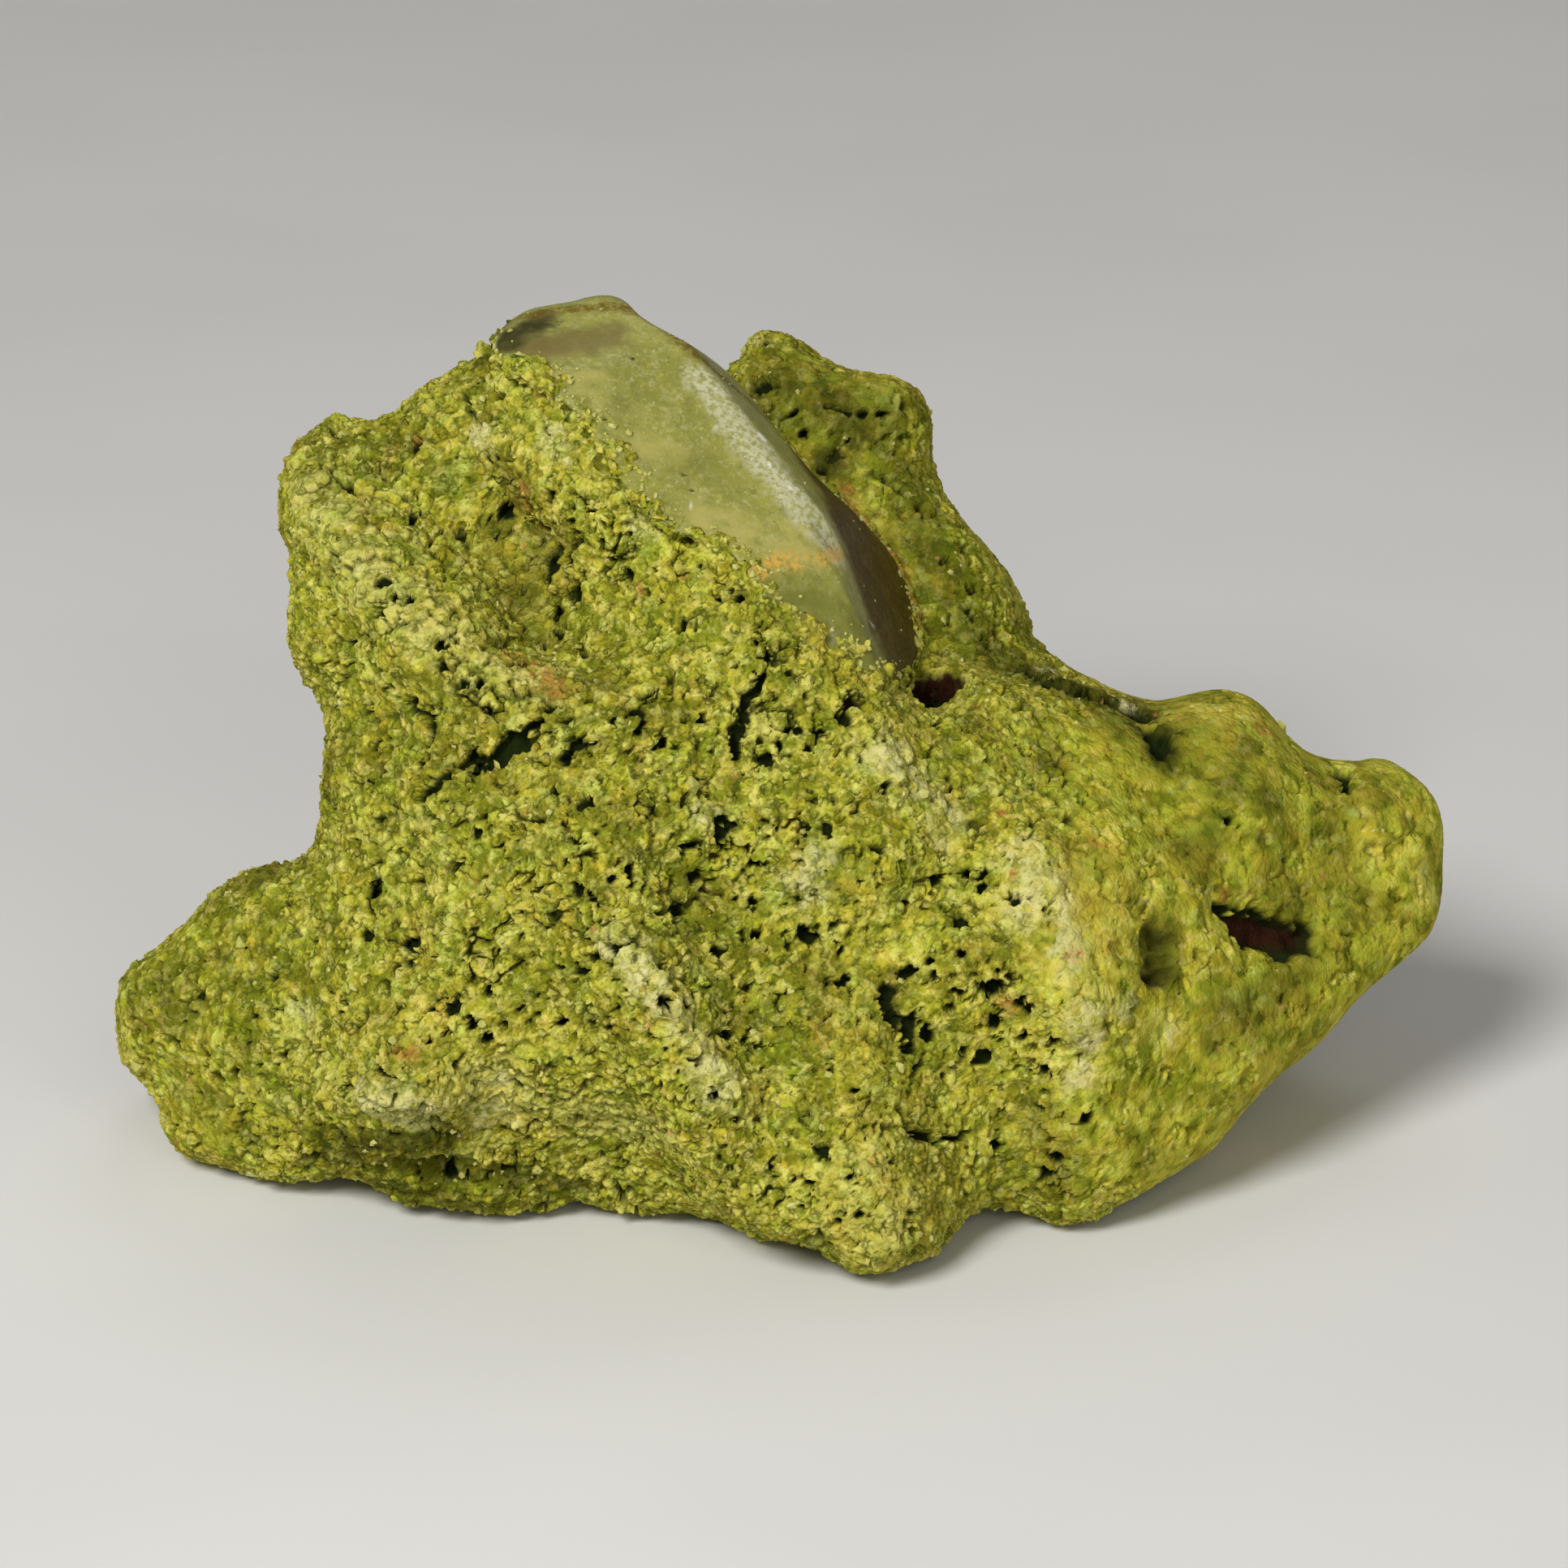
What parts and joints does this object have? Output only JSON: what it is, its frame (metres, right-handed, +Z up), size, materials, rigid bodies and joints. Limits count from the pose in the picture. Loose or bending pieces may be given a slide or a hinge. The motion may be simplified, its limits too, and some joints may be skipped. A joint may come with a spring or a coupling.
{
  "type": "nontronite mineral specimen with opal",
  "caption": "Crumbly yellow-green nontronite hand specimen with a lens of pale translucent common opal on its shoulder, resting on a flat broken underside.",
  "frame": {"origin": "middle of the underside, on the surface that the specimen rests on, below the middle of its box", "axes": "+Z up, +X to the right along the longest side, -Y towards the side with the rough broken face"},
  "size_m": [0.0711, 0.0509, 0.045],
  "materials": {
    "nontronite": "crumbly, granular, matt, with dark open pits, pale chalky patches and rusty specks",
    "opal": "translucent, greenish grey, waxy to dull glassy on a shell-shaped break, brown on its steep side"
  },
  "bodies": {
    "root": {"nontronite_mass": "nontronite", "opal_lens": "opal"}
  },
  "joints": []
}
